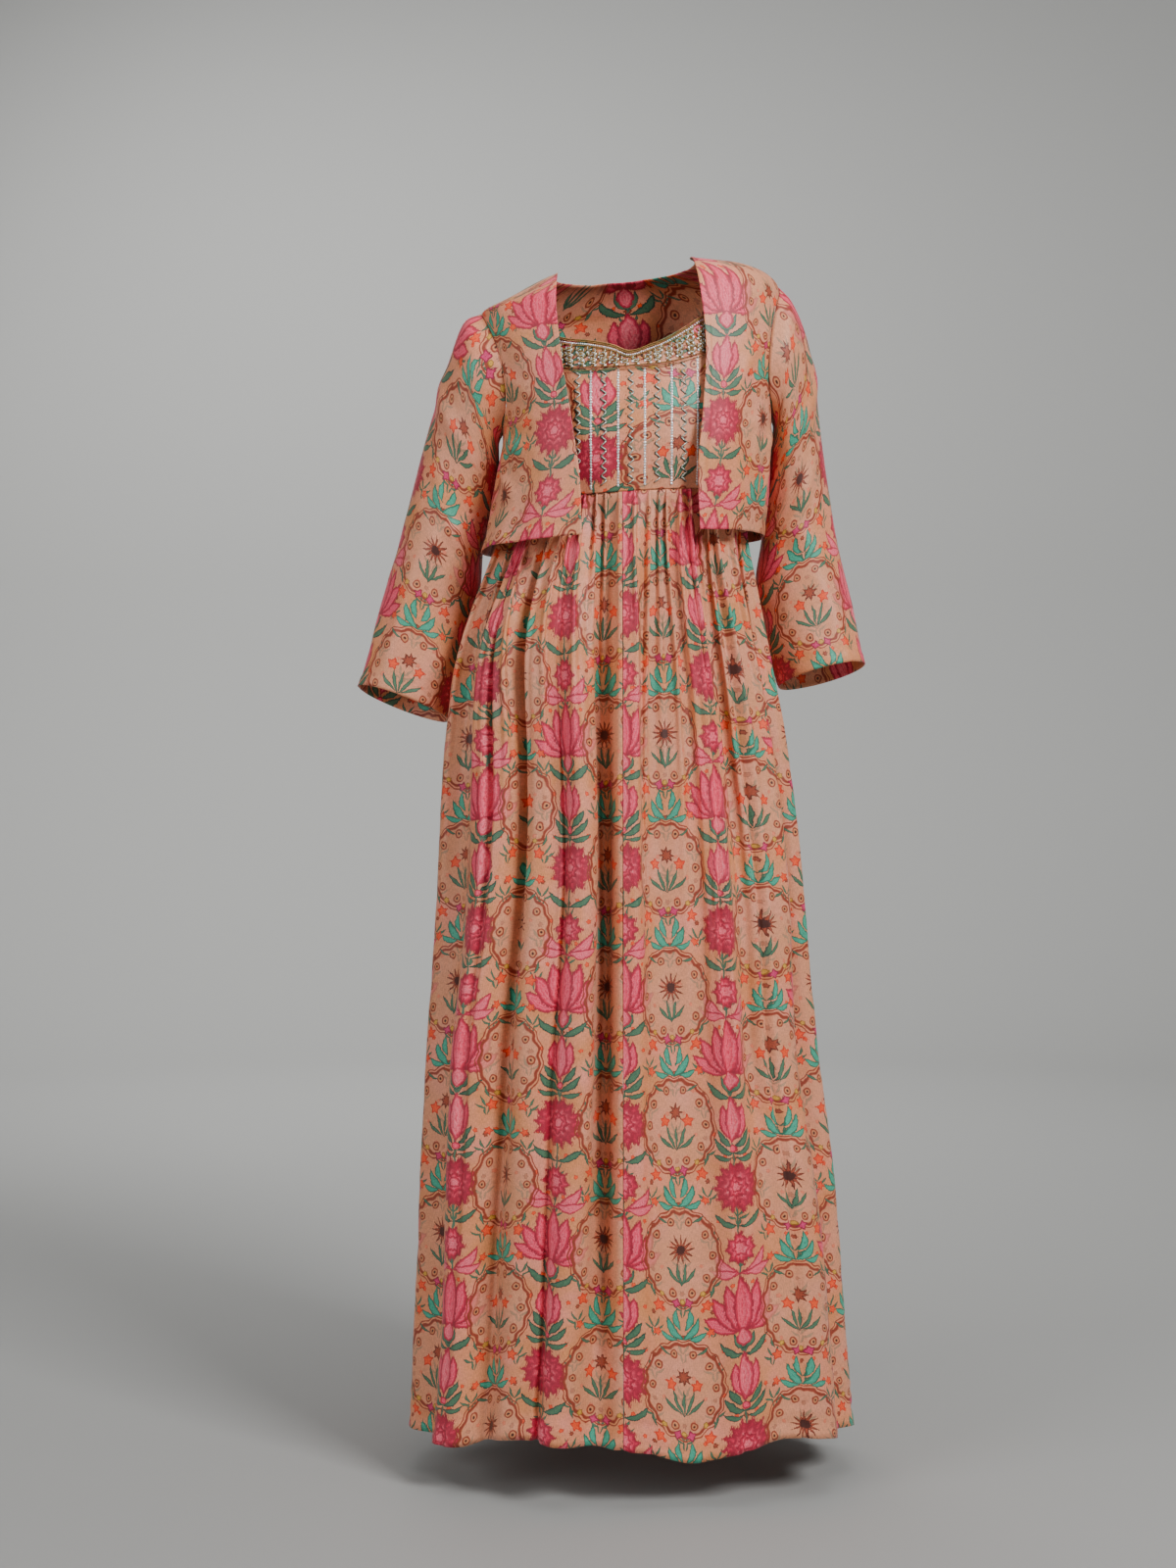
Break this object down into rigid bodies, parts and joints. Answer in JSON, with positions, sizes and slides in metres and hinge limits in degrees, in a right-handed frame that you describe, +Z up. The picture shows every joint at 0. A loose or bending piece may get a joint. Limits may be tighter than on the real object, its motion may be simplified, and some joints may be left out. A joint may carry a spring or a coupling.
{
  "type": "anarkali gown with attached short jacket",
  "caption": "Floor-length gown with an embroidered high-waisted bodice, a gathered flared skirt and a short open jacket layer with wide sleeves.",
  "frame": {"origin": "middle of the shoulder line, where the wearer's shoulders hold the gown up", "axes": "+Z up, -Y to the front of the gown, +X to the wearer's left"},
  "size_m": [0.6384, 0.4109, 1.443],
  "materials": {
    "printed_silk": "soft sheen crepe, printed all over with flowers",
    "beaded_band": "printed crepe covered with metallic beads"
  },
  "bodies": {
    "root": {"bodice_front": "printed_silk", "bodice_back_left": "printed_silk", "bodice_back_right": "printed_silk", "strap_left": "printed_silk", "strap_right": "printed_silk", "skirt_front_left": "printed_silk", "skirt_front_right": "printed_silk", "skirt_back_left": "printed_silk", "skirt_back_right": "printed_silk", "jacket_front_left": "printed_silk", "jacket_front_right": "printed_silk", "jacket_back": "printed_silk", "sleeve_left": "printed_silk", "sleeve_right": "printed_silk", "neck_band": "beaded_band"}
  },
  "joints": []
}
